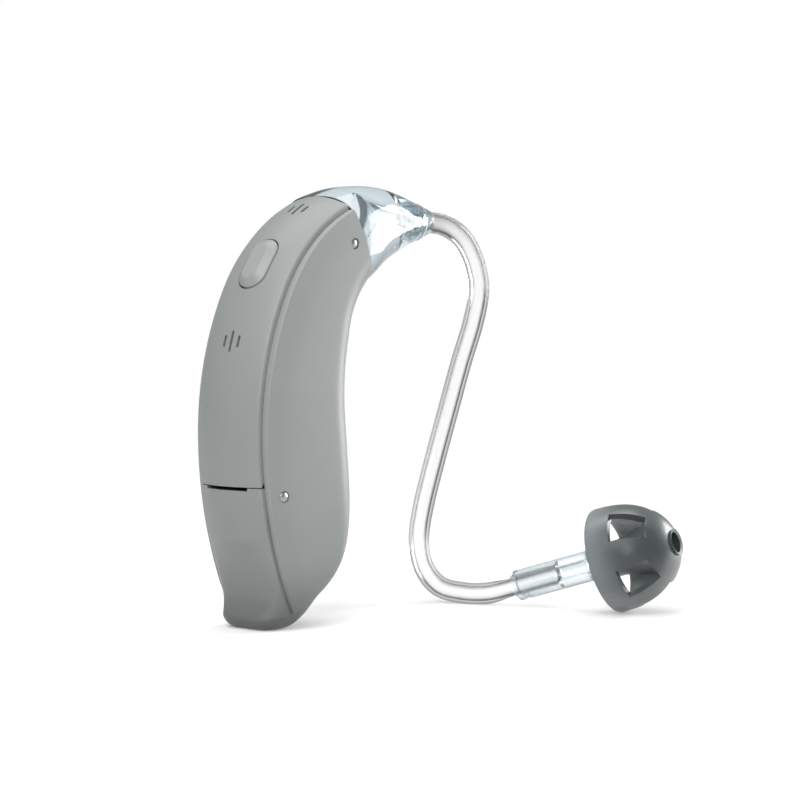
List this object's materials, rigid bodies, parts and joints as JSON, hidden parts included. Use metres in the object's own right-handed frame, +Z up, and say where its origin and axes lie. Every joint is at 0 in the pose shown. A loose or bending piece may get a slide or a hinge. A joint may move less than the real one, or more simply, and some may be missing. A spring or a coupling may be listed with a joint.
{
  "type": "behind the ear hearing aid",
  "caption": "Grey curved housing with a hinged battery door, push button, clear ear hook, slim sound tube and open ear dome, worn behind the ear.",
  "frame": {"origin": "the middle of the flat face under the lip of the battery door, on the floor it stands on", "axes": "+X forwards to the ear hook, +Z up, and the wearer's head and the ear dome on the -Y side"},
  "size_m": [0.0367, 0.0261, 0.0367],
  "materials": {
    "shell": "satin grey moulded shell with a faint green tint",
    "cover": "satin grey moulded spine cover",
    "door": "satin grey moulded door",
    "button": "satin grey push button",
    "pin_steel": "ground steel pin",
    "clear_hook": "clear polished plastic",
    "clear_connector": "clear plastic with a blue tint",
    "clear_tube": "clear soft tube, heat set",
    "clear_barrel": "clear barrel",
    "dome_silicone": "dark grey translucent silicone",
    "cell_can": "nickel plated cell can",
    "contact_gold": "gold plated spring contact",
    "chassis_plastic": "dark inner frame",
    "board": "green flexible board",
    "chip": "black chip",
    "switch": "plated dome switch",
    "mic_can": "microphone can",
    "boot": "soft grey boot",
    "receiver_can": "receiver can",
    "soft_tube": "soft clear tube",
    "coil": "copper winding"
  },
  "bodies": {
    "housing": {"shell_left": "shell", "shell_right": "shell", "spine_cover": "cover", "hinge_pin": "pin_steel", "hook_pin": "pin_steel", "button_switch": "switch", "ear_hook": "clear_hook", "hook_seal": "boot", "contact_positive": "contact_gold", "contact_negative": "contact_gold", "chassis": "chassis_plastic", "circuit_board": "board", "signal_chip": "chip", "power_chip": "chip", "front_microphone": "mic_can", "rear_microphone": "mic_can", "front_mic_boot": "boot", "rear_mic_boot": "boot", "receiver": "receiver_can", "receiver_boot": "boot", "receiver_tube": "soft_tube", "telecoil": "coil"},
    "door": {"battery_door": "door", "battery_cell": "cell_can"},
    "button": {"push_button": "button"},
    "tube_set": {"tube_connector": "clear_connector", "sound_tube": "clear_tube", "dome_barrel": "clear_barrel"},
    "dome": {"ear_dome": "dome_silicone"}
  },
  "joints": [
    {"name": "door_hinge", "type": "hinge", "parent": "housing", "child": "door", "pos_m": [-0.00105, 0, 0.01125], "axis": [0, 1, 0], "range_deg": [0, 50]},
    {"name": "button_press", "type": "slide", "parent": "housing", "child": "button", "axis": [0.8125, 0, -0.583], "range_m": [0, 0.00025], "stiffness_N_per_m": 1000, "springref_m": -0.0001},
    {"name": "tube_swivel", "type": "hinge", "parent": "housing", "child": "tube_set", "pos_m": [0.01947, 0, 0.03361], "axis": [1, 0, 0], "range_deg": [-30, 30]},
    {"name": "dome_pull", "type": "slide", "parent": "tube_set", "child": "dome", "axis": [0.2699, -0.9169, 0.294], "range_m": [0, 0.004]}
  ]
}
